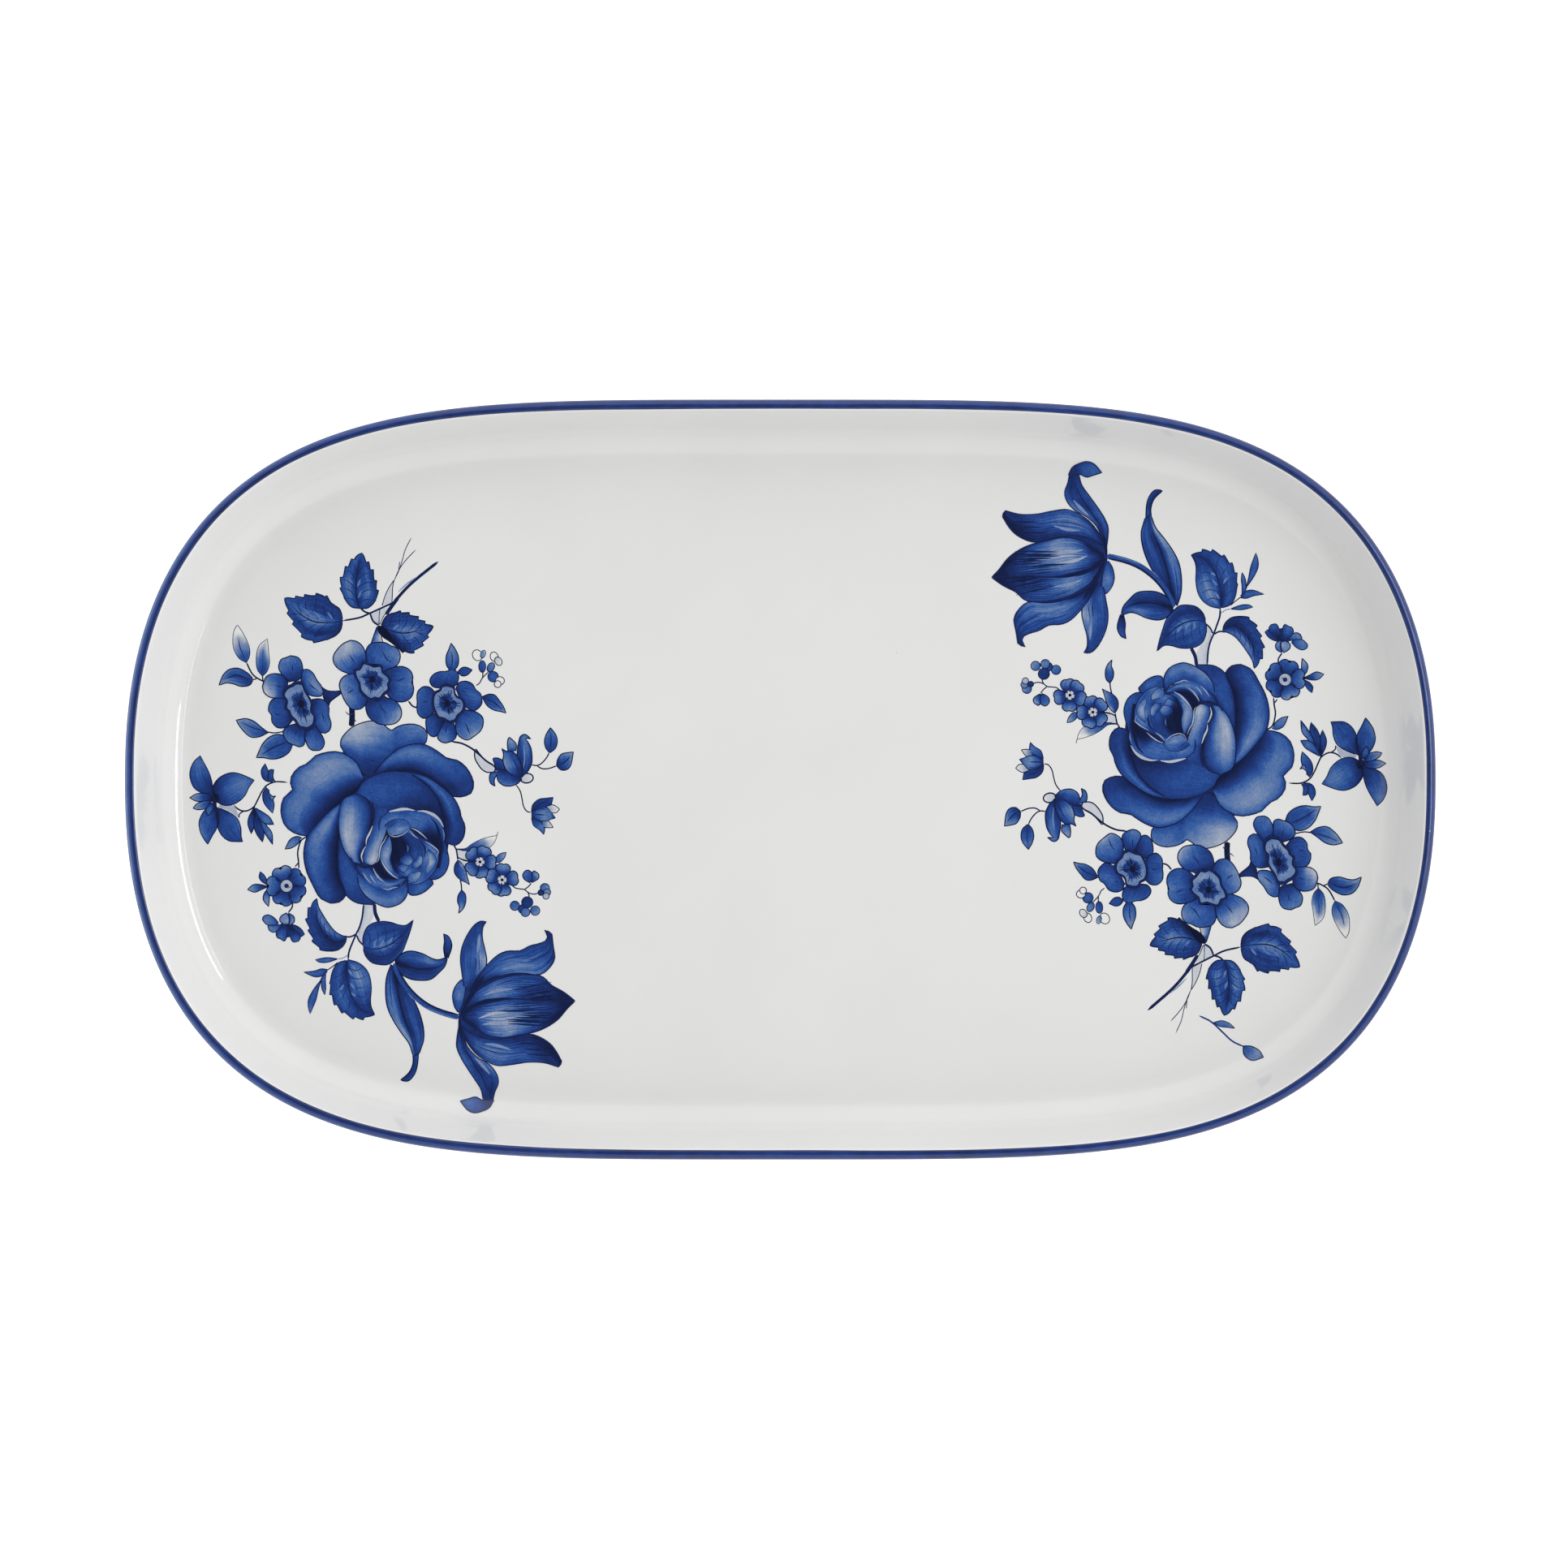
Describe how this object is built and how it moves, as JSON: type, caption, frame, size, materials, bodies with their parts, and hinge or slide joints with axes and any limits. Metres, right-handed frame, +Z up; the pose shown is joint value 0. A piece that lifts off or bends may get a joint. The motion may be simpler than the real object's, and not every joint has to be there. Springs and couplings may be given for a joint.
{
  "type": "serving platter",
  "caption": "Rounded oblong glazed china serving platter with an upright wall, blue rim band, bare foot ring and blue flower bouquets at both ends.",
  "frame": {"origin": "middle of the platter on the plane it stands on", "axes": "+X along the platter, +Y across it, +Z up out of the well"},
  "size_m": [0.35, 0.203, 0.0239],
  "materials": {
    "porcelain_glaze": "gloss",
    "band_enamel": "gloss",
    "foot_bisque": "matte",
    "print_enamel": "gloss"
  },
  "bodies": {
    "root": {"platter_body": "porcelain_glaze", "rim_band": "band_enamel", "foot_ring": "foot_bisque", "left_lower_leaves": "print_enamel", "left_small_leaf_sprig": "print_enamel", "left_tulip": "print_enamel", "left_curling_leaves": "print_enamel", "left_top_leaves": "print_enamel", "left_primrose_sprig": "print_enamel", "left_trefoil_sprig": "print_enamel", "left_auricula_sprig": "print_enamel", "left_forget_me_nots": "print_enamel", "left_columbine_sprig": "print_enamel", "left_primrose_inner": "print_enamel", "left_primrose_outer": "print_enamel", "left_primrose_middle": "print_enamel", "left_rose": "print_enamel", "right_lower_leaves": "print_enamel", "right_small_leaf_sprig": "print_enamel", "right_tulip": "print_enamel", "right_curling_leaves": "print_enamel", "right_top_leaves": "print_enamel", "right_primrose_sprig": "print_enamel", "right_trefoil_sprig": "print_enamel", "right_auricula_sprig": "print_enamel", "right_forget_me_nots": "print_enamel", "right_columbine_sprig": "print_enamel", "right_primrose_inner": "print_enamel", "right_primrose_outer": "print_enamel", "right_primrose_middle": "print_enamel", "right_rose": "print_enamel", "right_stray_bud": "print_enamel"}
  },
  "joints": []
}
